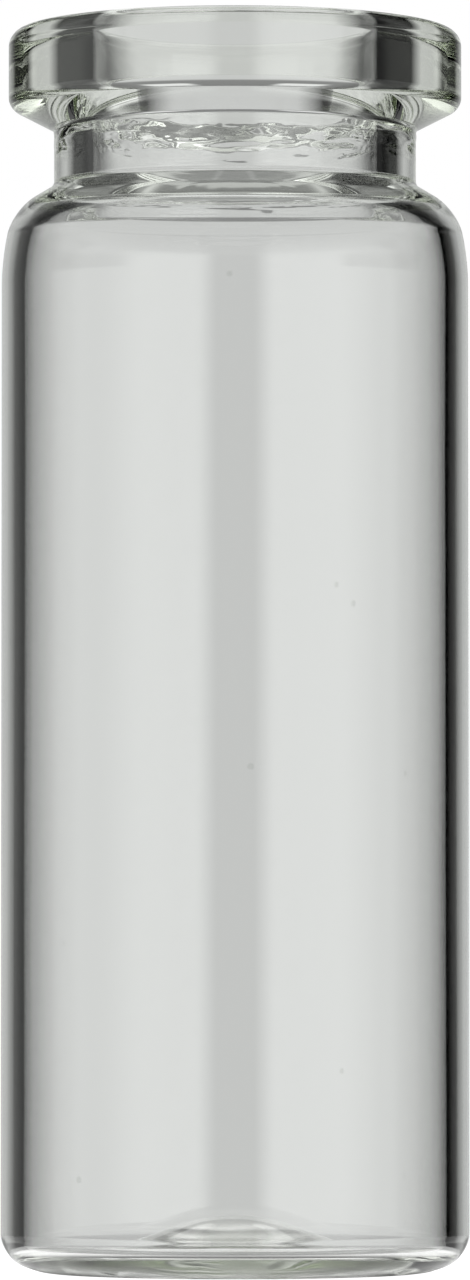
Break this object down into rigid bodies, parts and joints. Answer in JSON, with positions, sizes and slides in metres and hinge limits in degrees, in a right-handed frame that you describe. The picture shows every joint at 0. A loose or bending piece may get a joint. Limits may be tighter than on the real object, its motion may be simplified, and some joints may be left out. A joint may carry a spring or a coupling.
{
  "type": "glass sample vial",
  "caption": "Open clear glass sample vial: straight round body, short neck with a thick crimp bead, rounded shoulder and heel, pushed-up base.",
  "frame": {"origin": "centre of the foot, on the plane that the vial stands on", "axes": "+Z along the vial's axis, towards the mouth; X and Y are alike, because the vial is round"},
  "size_m": [0.0205, 0.0204, 0.0545],
  "materials": {
    "glass": "clear, smooth, fire-polished"
  },
  "bodies": {
    "root": {"vial": "glass"}
  },
  "joints": []
}
